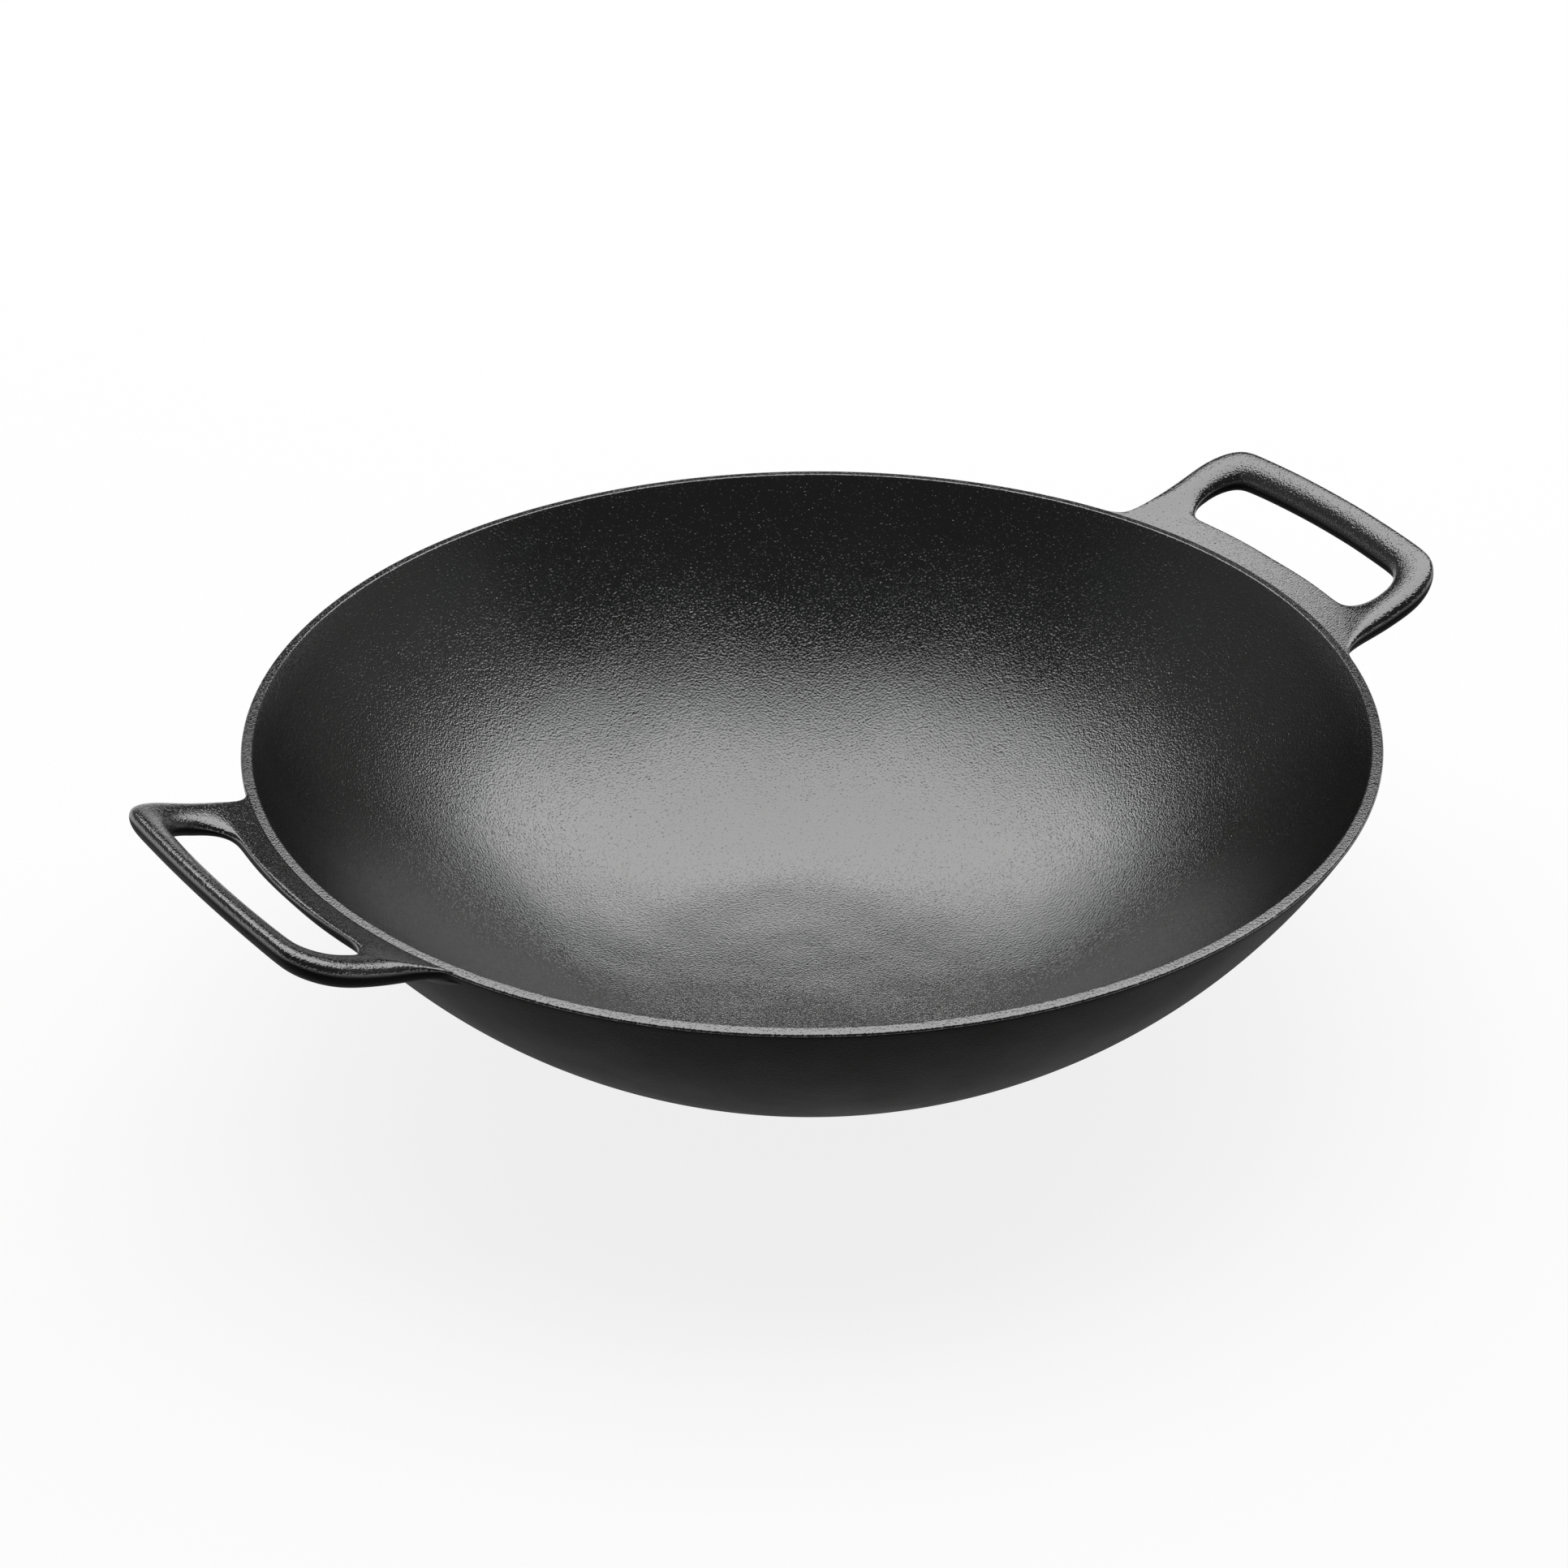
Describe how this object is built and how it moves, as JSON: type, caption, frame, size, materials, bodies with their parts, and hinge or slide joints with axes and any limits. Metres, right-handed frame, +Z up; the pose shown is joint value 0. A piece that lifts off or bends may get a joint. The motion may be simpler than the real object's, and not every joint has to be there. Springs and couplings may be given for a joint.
{
  "type": "wok",
  "caption": "Cast iron wok: a wide dished bowl on a flat foot, with a loop handle cast on each side of the rim, seasoned black.",
  "frame": {"origin": "middle of the flat foot's underside, at the bottom centre of the bounding box", "axes": "X runs through both handles, Y across the bowl between them, Z up"},
  "size_m": [0.4356, 0.36, 0.1186],
  "materials": {
    "seasoned_iron": "sand cast, seasoned black, satin"
  },
  "bodies": {
    "root": {"bowl": "seasoned_iron", "right_handle": "seasoned_iron", "left_handle": "seasoned_iron"}
  },
  "joints": []
}
